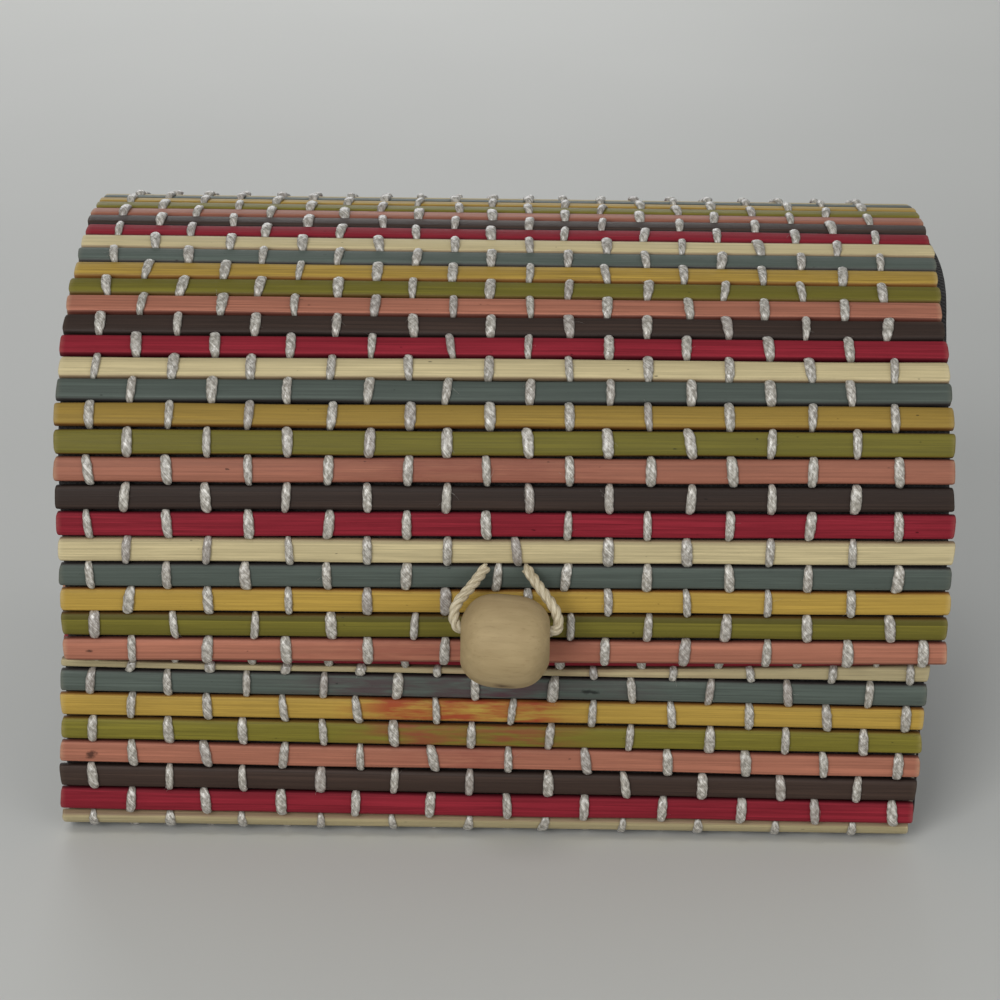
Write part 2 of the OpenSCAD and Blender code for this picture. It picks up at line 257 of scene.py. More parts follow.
def twisted(build, line, plies, ply_r, helix_r, pitch, sides):
    """Plies twisted round a line; the texture is shifted from ply to ply."""
    a, b = frames_along(line)
    s = np.concatenate([[0], np.cumsum(np.linalg.norm(np.diff(line, axis=0), axis=1))])
    for ply in range(plies):
        turn = 2 * math.pi * (ply / plies + s / pitch)
        centre = line + helix_r * (np.cos(turn)[:, None] * a + np.sin(turn)[:, None] * b)
        pa, pb = frames_along(centre)
        rows = []
        for i in range(len(line)):
            rows.append([
                tuple(centre[i] + ply_r * (math.cos(q) * pa[i] + math.sin(q) * pb[i]))
                for q in (2 * math.pi * j / sides for j in range(sides))
            ])
        around = [2 * math.pi * ply_r * j / sides for j in range(sides + 1)]
        verts, faces, uvs, ends = rings(rows, list(s + PLY_SHIFT * ply), around)
        build.add(verts, faces + ends, uvs + [[(0.0, 0.0)] * sides] * 2)


# Materials
def lin(*display):
    """A linear colour from red, green and blue between 0 and 255."""
    shares = [c / 255 for c in display]
    return tuple(c / 12.92 if c <= 0.04045 else ((c + 0.055) / 1.055) ** 2.4 for c in shares) + (1.0,)


def scaled(c, k):
    return tuple(min(1.0, x * k) for x in c[:3]) + (1.0,)


class Graph:
    """A material under construction; its textures use millimetres by UV, or metres by object."""

    def __init__(self, name):
        self.material = bpy.data.materials.new(name)
        self.material.use_nodes = True
        self.tree = self.material.node_tree
        self.tree.nodes.clear()
        out = self.tree.nodes.new("ShaderNodeOutputMaterial")
        self.shader = self.tree.nodes.new("ShaderNodeBsdfPrincipled")
        self.link(self.shader.outputs[0], out.inputs[0])

    def link(self, a, b):
        self.tree.links.new(a, b)

    def put(self, socket, value):
        if isinstance(value, bpy.types.NodeSocket):
            self.link(value, socket)
        else:
            socket.default_value = value

    def coords(self, scale, offset=(0, 0, 0), kind="uv"):
        m = self.tree.nodes.new("ShaderNodeMapping")
        if kind == "uv":
            src = self.tree.nodes.new("ShaderNodeUVMap")
            src.uv_map = "UVMap"
            self.link(src.outputs[0], m.inputs[0])
        else:
            src = self.tree.nodes.new("ShaderNodeTexCoord")
            self.link(src.outputs["Object"], m.inputs[0])
        m.inputs["Scale"].default_value = scale
        m.inputs["Location"].default_value = offset
        return m.outputs[0]

    def noise(self, vector, detail=3.0, rough=0.55, warp=0.0):
        n = self.tree.nodes.new("ShaderNodeTexNoise")
        self.link(vector, n.inputs["Vector"])
        n.inputs["Scale"].default_value = 1.0
        n.inputs["Detail"].default_value = detail
        n.inputs["Roughness"].default_value = rough
        n.inputs["Distortion"].default_value = warp
        return n.outputs[0]

    def span(self, value, lo, hi, to_lo=0.0, to_hi=1.0):
        n = self.tree.nodes.new("ShaderNodeMapRange")
        n.clamp = True
        self.put(n.inputs[0], value)
        for i, x in enumerate((lo, hi, to_lo, to_hi)):
            n.inputs[i + 1].default_value = x
        return n.outputs[0]

    def math(self, op, a, b=0.0):
        n = self.tree.nodes.new("ShaderNodeMath")
        n.operation = op
        self.put(n.inputs[0], a)
        self.put(n.inputs[1], b)
        return n.outputs[0]

    def split(self, vector):
        n = self.tree.nodes.new("ShaderNodeSeparateXYZ")
        self.link(vector, n.inputs[0])
        return n.outputs

    def attribute(self, name):
        n = self.tree.nodes.new("ShaderNodeAttribute")
        n.attribute_name = name
        return n.outputs["Fac"]

    def mix(self, fac, a, b):
        n = self.tree.nodes.new("ShaderNodeMix")
        n.data_type = "RGBA"
        self.put(n.inputs[0], fac)
        self.put(n.inputs[6], a)
        self.put(n.inputs[7], b)
        return n.outputs[2]

    def bump(self, height, strength, distance):
        n = self.tree.nodes.new("ShaderNodeBump")
        n.inputs["Strength"].default_value = strength
        n.inputs["Distance"].default_value = distance
        self.link(height, n.inputs["Height"])
        self.link(n.outputs[0], self.shader.inputs["Normal"])

    def set(self, **values):
        for key, value in values.items():
            self.put(self.shader.inputs[key.replace("_", " ")], value)
        return self.material


def bamboo(name, colour, stain, pale_k, rim, gloss, marks):
    """Dyed bamboo: fibres, streaks, stains, a pale line along one edge with darker colour past it, specks and single
    dark marks; and painted shade: towards one edge, on both edges (there with the stain's deeper dye) and over whole
    rows that also took deeper dye.
    """
    g = Graph(name)
    _, across, _ = g.split(g.coords((1.0, 1.0, 1.0)))
    fine = g.noise(g.coords((0.05, 3.2, 1.0)), detail=5.0, rough=0.7)
    hair = g.noise(g.coords((0.016, 6.0, 1.0), (3.1, 0, 0)), detail=2.0)
    broad = g.noise(g.coords((0.05, 0.3, 1.0), (0, 7.7, 0)), detail=2.0)
    patch = g.noise(g.coords((0.13, 0.8, 1.0), (11.0, 0, 0)), detail=3.0, rough=0.6)
    streak = g.noise(g.coords((0.012, 1.5, 1.0), (0, 0, 4.4)), detail=1.5)
    speck = g.noise(g.coords((0.75, 1.7, 1.0), (0, 0, 9.2)), detail=1.0)
    c = g.mix(g.span(fine, 0.38, 0.64), scaled(colour, 0.66), scaled(colour, 1.30))
    c = g.mix(g.span(hair, 0.55, 0.66, 0.0, 0.55), c, scaled(colour, 0.50))
    c = g.mix(g.span(streak, 0.56, 0.62, 0.0, 0.5), c, scaled(colour, pale_k))
    c = g.mix(g.span(broad, 0.38, 0.62, 0.0, 0.45), c, scaled(colour, 0.72))
    c = g.mix(g.span(g.attribute("tone"), 0.0, 1.0, 0.0, 0.40), c, scaled(colour, 1.30))
    # Painted shade: each slat darker towards one of its edges
    c = g.mix(g.span(g.attribute("band"), 0.0, 1.0, 0.0, 0.45), c, scaled(colour, 0.60))
    # A pale line along one edge of some slats, with darker colour past it
    past = g.math("MULTIPLY", g.math("SUBTRACT", across, g.attribute("lip")), g.attribute("lip_side"))
    past_lip = g.math("ADD", past, g.math("MULTIPLY", g.math("SUBTRACT", fine, 0.5), 0.5))
    lip_line = g.span(g.math("ABSOLUTE", past_lip), 0.04, 0.16, 0.7, 0.0)
    lip_k = g.attribute("lip_k")
    c = g.mix(g.math("MULTIPLY", g.span(past_lip, 0.0, 0.12), lip_k), c, scaled(colour, 0.55))
    c = g.mix(g.math("MULTIPLY", lip_line, lip_k), c, scaled(colour, pale_k))
    dyed = g.math("MULTIPLY", g.attribute("stain"), g.span(patch, 0.36, 0.58))
    c = g.mix(dyed, c, stain)
    c = g.mix(g.span(speck, 0.775, 0.82, 0.0, 0.8), c, scaled(colour, 0.22))
    c = g.mix(g.math("MULTIPLY", g.attribute("end"), g.span(patch, 0.3, 0.62, 0.15, 0.85)), c, rim)
    # Both edges of each slat: deeper dye in the stain's colour, and painted shade where the slat meets the gaps
    c = g.mix(g.math("MULTIPLY", g.attribute("side"), 0.75), c, scaled(stain, 0.45))
    # Painted shade and deeper dye: whole rows mixed towards black
    c = g.mix(g.attribute("deep"), c, (0.0, 0.0, 0.0, 1.0))
    for u, v, wide, tall in marks:
        spot = g.tree.nodes.new("ShaderNodeVectorMath")
        spot.operation = "LENGTH"
        g.link(g.coords((1 / wide, 1 / tall, 0.0), (-u / wide, -v / tall, 0.0)), spot.inputs[0])
        frayed = g.math("MULTIPLY", g.noise(g.coords((0.9, 1.6, 1.0))), 1.5)
        ragged = g.math("ADD", spot.outputs["Value"], frayed)
        c = g.mix(g.span(ragged, 1.0, 1.45, 0.85, 0.0), c, scaled(colour, 0.12))
    g.bump(g.math("ADD", fine, g.math("MULTIPLY", hair, 0.6)), 0.45, 0.00012)
    return g.set(Base_Color=c, Roughness=g.span(fine, 0.25, 0.75, 0.42, 0.62), Specular_IOR_Level=gloss)


def raw_end(name):
    g = Graph(name)
    pores = g.noise(g.coords((3.2, 3.2, 1.0)), detail=3.0)
    c = g.mix(g.span(pores, 0.35, 0.68), lin(96, 78, 52), lin(186, 164, 120))
    g.bump(pores, 0.6, 0.0002)
    return g.set(Base_Color=c, Roughness=0.8)


def yarn_material(name, dark, light, skew, blots=0.0, rough=(0.34, 0.5), shine=0.5):
    """Cotton: slanted fibres, clouds, dark blots, and painted shade: in the grooves of the twist, on the flanks, at
    the ends and towards the lower end of each stitch.
    """
    g = Graph(name)
    u, v, _ = g.split(g.coords((1.0, 1.0, 1.0)))
    slanted = g.tree.nodes.new("ShaderNodeCombineXYZ")
    g.link(g.math("MULTIPLY", u, 0.7), slanted.inputs[0])
    g.link(g.math("ADD", g.math("MULTIPLY", v, 4.0), g.math("MULTIPLY", u, 4.0 * skew)), slanted.inputs[1])
    fibre = g.noise(slanted.outputs[0], detail=3.0)
    cloud = g.noise(g.coords((0.6, 0.6, 1.0), (5.0, 2.0, 0)), detail=2.0)
    blot = g.noise(g.coords((1.5, 1.8, 1.0), (9.0, 4.0, 0)), detail=2.0)
    c = g.mix(g.span(fibre, 0.32, 0.66), dark, light)
    c = g.mix(g.span(cloud, 0.4, 0.7, 0.0, 0.3), c, dark)
    c = g.mix(g.span(g.attribute("tone"), 0.0, 1.0, 0.0, 0.3), c, dark)
    c = g.mix(g.span(blot, 0.38, 0.6, blots, 0.0), c, scaled(dark, 0.5))
    # Painted shade of the stitch, carried by the groove attribute: grooves, flanks, ends and lower end
    c = g.mix(g.attribute("groove"), c, scaled(dark, 0.5))
    c = g.mix(g.attribute("tint"), c, lin(122, 106, 104))
    g.bump(fibre, 0.5, 0.00012)
    return g.set(
        Base_Color=c, Roughness=g.span(fibre, 0.3, 0.7, *rough), Specular_IOR_Level=shine,
        Sheen_Weight=0.15, Sheen_Roughness=0.4,
    )


def cloth_material(name, dark, light, pitch):
    g = Graph(name)
    u, v, _ = g.split(g.coords((1.0, 1.0, 1.0)))
    k = math.pi / pitch
    warp = g.math("SINE", g.math("MULTIPLY", u, k))
    weft = g.math("SINE", g.math("MULTIPLY", v, k))
    over = g.math("MULTIPLY", warp, weft)
    slub = g.noise(g.coords((0.35, 2.4, 1.0)), detail=3.0)
    fuzz = g.noise(g.coords((0.09, 0.09, 1.0), (4.0, 1.0, 0)), detail=4.0)
    c = g.mix(g.span(over, -0.7, 0.7), dark, light)
    c = g.mix(g.span(slub, 0.4, 0.7, 0.0, 0.5), c, dark)
    c = g.mix(g.span(fuzz, 0.42, 0.75, 0.0, 0.35), c, scaled(light, 1.5))
    g.bump(g.math("ADD", over, slub), 0.5, 0.00015)
    return g.set(Base_Color=c, Roughness=g.span(slub, 0.3, 0.7, 0.85, 0.97), Sheen_Weight=0.08, Sheen_Roughness=0.5)


def wood_material(name):
    g = Graph(name)
    grain = g.noise(g.coords((90.0, 700.0, 700.0), kind="object"), detail=4.0, rough=0.6, warp=0.3)
    pore = g.noise(g.coords((500.0, 3200.0, 3200.0), kind="object"), detail=2.0)
    cloud = g.noise(g.coords((160.0, 160.0, 160.0), (0.4, 0.2, 0.9), kind="object"), detail=2.0)
    c = g.mix(g.span(grain, 0.3, 0.7), lin(156, 136, 98), lin(173, 152, 113))
    c = g.mix(g.span(pore, 0.58, 0.76, 0.0, 0.4), c, lin(128, 106, 74))
    c = g.mix(g.span(cloud, 0.4, 0.65, 0.0, 0.3), c, lin(148, 126, 90))
    c = g.mix(g.attribute("stain"), c, lin(84, 62, 42))
    g.bump(g.math("ADD", grain, g.math("MULTIPLY", pore, 0.5)), 0.25, 0.00012)
    return g.set(Base_Color=c, Roughness=g.span(grain, 0.3, 0.7, 0.58, 0.72), Specular_IOR_Level=0.3)


def card_material(name):
    g = Graph(name)
    pulp = g.noise(g.coords((1400.0, 1400.0, 1400.0), kind="object"), detail=4.0)
    c = g.mix(g.span(pulp, 0.3, 0.7), lin(132, 124, 108), lin(168, 160, 142))
    g.bump(pulp, 0.3, 0.0001)
    return g.set(Base_Color=c, Roughness=0.9)


# Each dye: the colour, its stains, how pale its streaks are, the worn rim of the cut ends, and the gloss
DYES = {
    "pink": (lin(162, 104, 83), lin(128, 62, 54), 1.5, lin(190, 150, 122), 0.22),
    "olive": (lin(116, 108, 38), lin(134, 74, 46), 1.6, lin(150, 138, 84), 0.22),
    "yellow": (lin(170, 139, 62), lin(156, 72, 40), 1.45, lin(190, 166, 112), 0.22),
    "blue": (lin(84, 93, 86), lin(78, 55, 60), 1.7, lin(110, 112, 100), 0.22),
    "cream": (lin(192, 177, 136), lin(160, 118, 96), 1.22, lin(204, 190, 152), 0.22),
    "red": (lin(134, 38, 49), lin(96, 30, 40), 1.4, lin(150, 80, 78), 0.06),
    "brown": (lin(57, 43, 36), lin(52, 40, 38), 2.2, lin(74, 62, 52), 0.22),
}
# The texture's shift from slat to slat along and across, and on the cut ends; base slats count on from BASE_NUMBER
TEX_U, TEX_V, TEX_END, BASE_NUMBER = 31.0, 12.7, 3.3, 50
# Dark marks: slat number, place along and across, width, height
MARKS = {"blue": [(89, 14.6, 2.3, 2.2, 0.7)], "pink": [(86, -61.0, 2.4, 1.6, 1.1), (0, -61.7, 2.2, 0.9, 0.45)]}
bamboos = {
    c: bamboo(
        "bamboo_" + c, *DYES[c],
        [(x + TEX_U * n, v + TEX_V * n, wide, tall) for n, x, v, wide, tall in MARKS.get(c, ())],
    )
    for c in COLOURS
}
cut_end = raw_end("bamboo_cut_end")
yarn_white = yarn_material(
    "yarn_white", lin(170, 162, 148), lin(252, 249, 241), -0.9, blots=0.85, rough=(0.18, 0.34), shine=1.0,
)
cotton_cord = yarn_material("cotton_cord", lin(158, 144, 114), lin(216, 204, 176), 0.25)
black_cloth = cloth_material("black_cloth", lin(17, 15, 15), lin(44, 40, 39), 0.42)
bead_wood = wood_material("bead_wood")
grey_card = card_material("grey_card")


# The cord: a loop from one gap in the flap through the bead and back. A leg's points are shares of the way sideways,
# forward and down from its exit; it goes out round the bead's end and turns back into the bore.
LEG = [
    (0, 0, 0), (0.16, 0.18, 0.09), (0.42, 0.42, 0.25), (0.64, 0.6, 0.375), (0.81, 0.72, 0.487), (0.93, 0.81, 0.6),
    (0.984, 0.88, 0.712), (1, 0.93, 0.8125), (0.959, 0.965, 0.906), (0.848, 0.985, 0.975), (0.695, 1, 1), (0.3, 1, 1),
]
LEG_CLEAR, BORE_CLEAR, BORE_LEAN = {-1: -0.05, 1: 0.2}, 1.0, 1.0
leg_wide = {side: SHOWN_BEAD_L / 2 + CORD_D / 2 + LEG_CLEAR[side] - exit_x for side in (-1, 1)}
cord_lift = SHOWN_BORE / 2 - BORE_CLEAR


def leg_at(v, side):
    x = side * (exit_x + v[0] * leg_wide[side])
    lean = table(v[2], [0.0, 0.8, 1.0], [0.0, BEAD_TILT, BORE_LEAN])
    return (
        x + PULL_X,
        pull_y + v[1] * (bead_y - pull_y),
        pull_z + v[2] * (bead_z + cord_lift - pull_z) - x * math.tan(lean * RAD),
    )


route = [leg_at(v, -1) for v in LEG] + [leg_at(v, 1) for v in reversed(LEG)]
cord_line, cord_length = smooth_line(route, 150)
build = Build()
twisted(build, cord_line, plies=3, ply_r=0.44, helix_r=0.38, pitch=4.4, sides=10)
cord = build.object("cord_loop", [cotton_cord])
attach(cord, "pull")
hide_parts("pull_cord")


# The bead: a turned barrel with soft edges; it hangs askew, but its bore lies along the axis it turns on
BEAD_STEPS, BEAD_TURNS, BEAD_END_POWER, BEAD_BELLY_POWER, RIM = 36, 72, 3.1, 2.35, 0.25
DIRT_AT, DIRT_SIZE = (-0.2, -4.5, -5.1), (1.7, 0.95, 0.95)


def bead_profile():
    outer = []
    for i in range(BEAD_STEPS + 1):
        q = math.pi * i / BEAD_STEPS
        x = SHOWN_BEAD_L / 2 * math.copysign(abs(math.cos(q)) ** (2 / BEAD_END_POWER), math.cos(q))
        r = BEAD_D / 2 * max(0.0, math.sin(q)) ** (2 / BEAD_BELLY_POWER)
        if r > SHOWN_BORE / 2 + RIM:
            outer.append((x, r))
    tip = outer[0][0]
    mouth = [(tip + 0.04, SHOWN_BORE / 2 + 0.2), (tip - 0.04, SHOWN_BORE / 2 + 0.06), (tip - 0.3, SHOWN_BORE / 2)]
    inner = [(x, SHOWN_BORE / 2) for x in (4.5, 3, 1.5, 0, -1.5, -3, -4.5)]
    return outer[::-1] + mouth + inner + [(-x, r) for x, r in reversed(mouth)]


build = Build()
profile = bead_profile()
rows = []
for x, r in profile:
    share = min(1.0, max(0.0, (r - SHOWN_BORE / 2 - 0.3) / 1.3))
    tilt = Matrix.Rotation(BEAD_TILT * share * RAD, 3, "Y")
    ring = []
    for j in range(BEAD_TURNS):
        q = 2 * math.pi * j / BEAD_TURNS
        wobble = 1 + 0.006 * math.sin(2 * q + 0.4 * x) + 0.004 * math.sin(3 * q - x)
        p = tilt @ Vector((x, r * wobble * math.cos(q), r * wobble * math.sin(q)))
        ring.append((PULL_X + p.x, bead_y + p.y, bead_z + p.z))
    rows.append(ring)
verts, faces, uvs, _ = rings(rows, [p[0] for p in profile], [j * 0.6 for j in range(BEAD_TURNS + 1)])
last = (len(profile) - 1) * BEAD_TURNS
for j in range(BEAD_TURNS):
    k = (j + 1) % BEAD_TURNS
    faces.append((last + j, last + k, k, j))
    uvs.append([(0, 0), (0, 1), (1, 1), (1, 0)])
dirt = []
for p in verts:
    away = math.hypot(*((c - o - d) / s for c, o, d, s in zip(p, (PULL_X, bead_y, bead_z), DIRT_AT, DIRT_SIZE)))
    dirt.append(min(0.9, 1.5 * max(0.0, 1 - away)))
build.add(verts, faces, uvs, stain=dirt)
bead = build.object("bead", [bead_wood])
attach(bead, "bead")
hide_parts("pull_bead")


# Slats: flat faces, soft edges, cut ends that wander, and the slight skew of handwork.
# Lid slats count from the flap's edge, base slats from the back; base_row() counts base slats from the front.
ASIDE_ROWS = [0, 2, 3, 7, 8, 9, 10, 14, 43]
BOWED, BOWED_W, BOWED_GAP = (2, 3), 4.1, 0.28
SAG, SAG_TILT, SAG_BOW, FOOT, FOOT_TILT = 13.45, -0.0055, -0.00023, 14.87, 0.006


def base_row(i):
    return BASE_N - 1 - i


def lid_aside(i):
    return table(i, [0, 4, 7, 14, 18, 40], [0.5, 0.35, 0.0, -0.15, 0.15, 0.1])


def lid_skew(i):
    return table(i, [0, 3, 6.5, 12, 18, 24, 39], [-0.42, -0.45, -0.55, -0.4, -0.1, 0, 0])


def base_aside(i):
    return table(base_row(i), ASIDE_ROWS, [-0.3, -0.3, -1.0, -1.45, -1.72, -1.85, -2.0, -0.5, 0.0])


def base_more(i):
    return table(base_row(i), ASIDE_ROWS, [0.0, 0.0, 0.3, 0.3, 0.95, 0.6, 0.3, 0.2, 0.2])


def base_skew(i):
    return table(base_row(i), [0, 1, 3, 9, 12, 43], [0.0, 0.0, 0.35, 0.35, 0.0, 0.0])


def lid_slat_at(i):
    return lid_at((i + 0.5) * lid_p)


def base_slat_at(i):
    slide = table(base_row(i), [0, 3, 4, 9, 13, 17, 43], [0.0, 0.0, 0.8, 0.55, 0.3, 0.0, 0.0])
    return base_at(mat_end + (i + 0.5) * base_p + slide)


def base_edges(i, x):
    """Lower and upper edge of a base slat at x; the two that show under the flap are bowed and uneven."""
    j = base_row(i)
    if j in BOWED:
        middle = (j + 0.5) * base_p
        sag = SAG + SAG_TILT * x + SAG_BOW * x * x
        top, low = (sag - BOWED_W, sag) if j == BOWED[0] else (sag + BOWED_GAP, FOOT + FOOT_TILT * x)
        return middle - low, middle - top
    half = (base_p - SHOWN_GAP) / 2
    tilt = -x * math.tan(base_skew(i) * RAD)
    return tilt - half, tilt + half


def lid_edges(i, x):
    half = (lid_p - SHOWN_GAP) / 2
    tilt = -x * math.tan(lid_skew(i) * RAD)
    return tilt - half, tilt + half


# A slat's section, and its cut ends: distance from the end, size there, and how near the end it counts
SECTION_N, SECTION_W_POWER, SECTION_T_POWER = 22, 4.4, 3.4
SECTION = []
for j in range(SECTION_N):
    q = 2 * math.pi * (j + 0.5) / SECTION_N
    c, s = math.cos(q), math.sin(q)
    SECTION.append((
        math.copysign(abs(c) ** (2 / SECTION_W_POWER), c), math.copysign(abs(s) ** (2 / SECTION_T_POWER), s),
    ))
CUT_END = [(0.0, 0.80, 1.0), (0.07, 0.90, 0.9), (0.22, 0.97, 0.75), (0.5, 0.995, 0.35)]
SLAT_ROWS, SLAT_ROWS_FROM, FACE_MIDDLE = 30, 0.9, 2.33


def add_slat(build, f, length, edges, number, rng, aside, stains, deep):
    left = -length / 2 + rng.uniform(-0.14, 0.16)
    right = length / 2 - rng.uniform(-0.14, 0.16)
    waves = [(rng.uniform(0.02, 0.07), rng.uniform(0, 6.3), rng.uniform(0.04, 0.13)) for _ in range(4)]
    slant = (rng.uniform(-0.15, 0.15), rng.uniform(-0.15, 0.15))
    blunt = (rng.uniform(0.02, 0.28), rng.uniform(0.02, 0.28))
    crown = rng.uniform(0.02, 0.14)
    share = rng.uniform(0.97, 1.0)
    width = edges(0.0)[1] - edges(0.0)[0]
    # Painted shade towards one edge: its strength, and by its sign which edge
    band = rng.uniform(-1, 1)
    lip_side = rng.choice((-1.0, 1.0, 1.0))
    lip = FACE_MIDDLE + lip_side * rng.uniform(0.95, 1.5)
    lip_k = rng.choice((0.0, 0.25, 0.5, 0.8))
    thick = SLAT_T * rng.uniform(0.93, 1.0)
    shift = rng.uniform(-0.06, 0.06)
    lean = rng.uniform(-2.2, 2.2) * RAD
    inner = np.linspace(left + SLAT_ROWS_FROM, right - SLAT_ROWS_FROM, SLAT_ROWS)
    places = [(left + d, k, tip) for d, k, tip in CUT_END] + [(x, 1.0, 0.0) for x in inner]
    places += [(right - d, k, tip) for d, k, tip in reversed(CUT_END)]
    rows, levels, edge_shades, tips, sides = [], [], [], [], []
    for x, k, tip in places:
        low, high = edges(x)
        du = shift + (low + high) / 2 + sum(a * math.sin(w * x + p) for a, p, w in waves[:2]) * 0.8
        dn = sum(a * math.sin(w * x + p) for a, p, w in waves[2:]) * 0.35
        w = (high - low) * share * (1 + 0.014 * math.sin(0.19 * x + waves[0][1]))
        end = 0 if x < 0 else 1
        row = []
        for a, b in SECTION:
            u = a * (w / 2 - (1 - k) * 0.8) + du
            n = b * (thick / 2 - (1 - k) * 0.8)
            if b > 0:
                n -= crown * a * a * 0.5
            n += a * math.sin(lean) * w / 2 * 0.5
            y, z = off(f, u, n + dn)
            row.append((x + aside + tip * (slant[end] * a + (1, -1)[end] * blunt[end] * a**4), y, z))
        rows.append(row)
        level = sum(h * math.exp(-(((x - c) / s) ** 2)) for c, s, h in stains)
        levels.extend([min(1.0, level)] * SECTION_N)
        edge_shades.extend(max(0.0, a * band) for a, b in SECTION)
        tips.extend([tip] * SECTION_N)
        # The edges of the section, which take the deeper dye and painted shade of the edges
        sides.extend(max(0.0, (abs(a) - 0.86) / 0.14) for a, b in SECTION)
    around = [0.0]
    for j in range(SECTION_N):
        p, q = SECTION[j], SECTION[(j + 1) % SECTION_N]
        around.append(around[-1] + math.hypot((p[0] - q[0]) * width / 2, (p[1] - q[1]) * SLAT_T / 2))
    verts, faces, uvs, ends = rings(
        rows, [p[0] + TEX_U * number for p in places], [v + TEX_V * number for v in around],
    )
    start = build.add(
        verts, faces, uvs, tone=rng.random(), stain=levels, band=edge_shades, end=tips, side=sides, deep=deep,
        lip=lip + TEX_V * number, lip_side=lip_side, lip_k=lip_k,
    )
    cap = [(a * width / 2 + TEX_END * number, b * SLAT_T / 2) for a, b in SECTION]
    build.faces.extend([tuple(i + start for i in e) for e in ends])
    build.uvs.extend(cap[::-1] + cap)
    build.slots.extend([1, 1])


# Stains by row: middle, spread and strength; and rows darker than others of their colour: on the lid partly deeper
# dye and partly painted shade, under the flap a painted shadow of the flap
LID_STAINS = {0: [(-8, 22, 0.35)], 7: [(-8, 22, 0.35)]}
BASE_STAINS = {
    3: [(8, 24, 0.4)],
    4: [(-20, 9, 0.7), (0, 9, 1.1), (20, 6, 0.3)],
    5: [(-15, 5, 1.1), (-4, 6, 1.2), (6, 4, 1.0)],
    6: [(-12, 6, 1.1), (3, 8, 0.9)],
    7: [(-4, 9, 0.4)],
}
LID_DARK_DYE_AND_SHADE = {1: 0.22, 3: 0.18, 6: 0.35, 7: 0.18, 8: 0.26, 9: 0.32, 10: 0.26, 13: 0.18, 15: 0.2}
BASE_PAINTED_SHADOW = {3: 0.2}
LID_SHORT, TRIM_SHARE, BASE_TRIM_FROM = 0.4, 0.3, 3
rng = random.Random(41)
lid_builds = {c: Build() for c in COLOURS}
base_builds = {c: Build() for c in COLOURS}
for i in range(LID_N):
    add_slat(
        lid_builds[COLOURS[i % len(COLOURS)]], lid_slat_at(i), SLAT_L - LID_SHORT - TRIM_SHARE * trim(i),
        lambda x: lid_edges(i, x), i, rng, lid_aside(i), LID_STAINS.get(i, ()), LID_DARK_DYE_AND_SHADE.get(i, 0.0),
    )
for i in range(BASE_N):
    j = base_row(i)
    add_slat(
        base_builds[COLOURS[-j % len(COLOURS)]], base_slat_at(i),
        base_slat_l + base_more(i) - TRIM_SHARE * trim(j + BASE_TRIM_FROM),
        lambda x: base_edges(i, x), BASE_NUMBER + i, rng, base_aside(i),
        BASE_STAINS.get(j, ()), BASE_PAINTED_SHADOW.get(j, 0.0),
    )
for body, builds in (("lid", lid_builds), ("base", base_builds)):
    for c in COLOURS:
        o = builds[c].object(f"bamboo_{body}_{c}", [bamboos[c], cut_end])
        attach(o, body)
        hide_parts(f"{body}_slats_{c}")


# Yarn: a puffy three-ply thread over a slat, from gap to gap, with the grooves of its twist
STITCH_RINGS, STITCH_SIDES, STITCH_TWIST = 17, 18, 4.6
HAIR_POINTS, HAIR_R = 5, 0.017
STITCH_Q = np.arange(STITCH_SIDES) * 2 * math.pi / STITCH_SIDES


def add_stitch(build, f, x, width, rng, low=False):
    """One stitch over a slat; those under the floor are flatter and stay above the table."""
    lift, half_n = (0.12, 0.30) if low else (0.27, 0.44)
    half_x = rng.uniform(0.60, 0.88)
    bottom, reach = -0.5, width / 2 + rng.uniform(0.0, 0.10)
    top = SLAT_T / 2 + lift
    lean, jog = rng.gauss(0.0, 0.17), rng.gauss(0.0, 0.17)
    bend = rng.gauss(0.0, 0.10)
    phase = rng.uniform(0, 6.3)
    t = np.linspace(0, 1, STITCH_RINGS)
    c, s = -np.cos(math.pi * t), np.sin(math.pi * t)
    u = reach * np.sign(c) * np.abs(c) ** (2 / 3.0)
    n = bottom + (top - bottom) * s ** (2 / 3.2)
    cx = x + jog + lean * c + bend * s
    d = np.gradient(np.stack([u, n], 1), axis=0)
    d /= np.linalg.norm(d, axis=1)[:, None]
    run = np.concatenate([[0], np.cumsum(np.hypot(np.diff(u), np.diff(n)))])
    swell = (0.50 + 0.50 * s**0.8) * (1 + rng.uniform(-0.10, 0.14) * c)
    turn = phase + 2 * math.pi * run / STITCH_TWIST
    groove = (1 - np.abs(np.sin(1.5 * (STITCH_Q[None, :] - turn[:, None])))) ** 2.0
    r = swell[:, None] * (1 - 0.18 * groove)
    flank_shade = np.abs(np.cos(STITCH_Q))[None, :] ** 4
    # Painted shade: darker in the grooves, on the flanks, at the ends where the stitch dives into the gaps, and
    # towards its lower end
    painted_shade = np.minimum(0.95, 0.62 * groove + 0.35 * flank_shade + 0.35 * (1 - s[:, None]) ** 2 + 0.11 * (1 - c[:, None]))
    e = half_n * r * np.sin(STITCH_Q)[None, :]
    px = cx[:, None] + half_x * r * np.cos(STITCH_Q)[None, :]
    pu = u[:, None] - e * d[:, 1][:, None]
    pn = n[:, None] + e * d[:, 0][:, None]
    (fy, fz), a = f
    ca, sa = math.cos(a * RAD), math.sin(a * RAD)
    py, pz = fy + pu * ca - pn * sa, fz + pu * sa + pn * ca
    if low:
        pz = np.maximum(pz, 0.0)
    rows = np.stack([px, py, pz], 2).tolist()
    start_u = rng.uniform(0, 300)
    verts, faces, uvs, ends = rings(rows, (run + start_u).tolist(), [0.25 * j for j in range(STITCH_SIDES + 1)])
    build.add(
        verts, faces + ends, uvs + [[(start_u, 0.0)] * STITCH_SIDES] * 2,
        tone=rng.random(), groove=painted_shade.ravel().tolist(), tint=rng.choice((0, 0, 0, 0, 0, 0, 0, 0.08, 0.12, 0.3)),
    )


